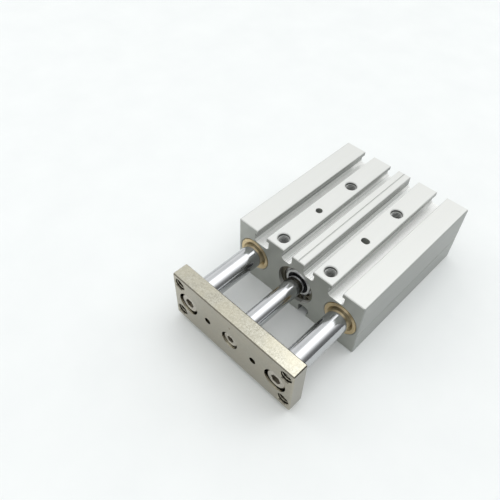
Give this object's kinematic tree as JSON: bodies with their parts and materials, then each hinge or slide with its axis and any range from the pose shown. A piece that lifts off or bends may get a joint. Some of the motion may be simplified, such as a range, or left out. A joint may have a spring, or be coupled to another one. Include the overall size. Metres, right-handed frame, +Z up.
{
  "type": "guided pneumatic cylinder",
  "caption": "Compact guided air cylinder: a slotted block body with a piston rod between guide rods that push a flat tooling plate out and back.",
  "frame": {"origin": "on the body's flat base face, at the centre of the 24 by 44 mm rectangle of mounting holes", "axes": "+Y from the tooling plate towards the body's rear, along the rods; +Z up out of the slotted top face; +X across the body to the side with no ports"},
  "size_m": [0.064, 0.11, 0.03],
  "materials": {
    "anodised_aluminium": "satin clear anodised",
    "bush_bronze": "sintered, oily satin",
    "black_rubber": "matt",
    "spring_steel": "phosphated",
    "bumper_rubber": "satin",
    "screw_steel": "zinc plated",
    "turned_aluminium": "turned",
    "bonded_magnet": "matt",
    "hard_chrome": "ground hard chrome",
    "nickel_plated_steel": "nickel plated, satin"
  },
  "bodies": {
    "barrel": {"cylinder_body": "anodised_aluminium", "guide_bush_left_front": "bush_bronze", "guide_bush_left_rear": "bush_bronze", "guide_bush_right_front": "bush_bronze", "guide_bush_right_rear": "bush_bronze", "rod_cover": "turned_aluminium", "rod_cover_gasket": "black_rubber", "rod_seal": "black_rubber", "rod_cover_retaining_ring": "spring_steel", "rod_side_bumper": "bumper_rubber", "head_side_bumper": "bumper_rubber", "head_cover": "turned_aluminium", "head_cover_gasket": "black_rubber", "head_cover_retaining_ring": "spring_steel", "port_plug_front": "screw_steel", "port_plug_rear": "screw_steel"},
    "carriage": {"piston": "turned_aluminium", "piston_seal": "black_rubber", "piston_magnet": "bonded_magnet", "piston_rod": "hard_chrome", "guide_rod_left": "hard_chrome", "guide_rod_right": "hard_chrome", "end_plate": "nickel_plated_steel", "guide_rod_screw_left": "screw_steel", "guide_rod_screw_right": "screw_steel", "piston_rod_screw": "screw_steel"}
  },
  "joints": [
    {"name": "rod_slide", "type": "slide", "parent": "barrel", "child": "carriage", "axis": [0, -1, 0], "range_m": [-0.024, 0.016]}
  ]
}
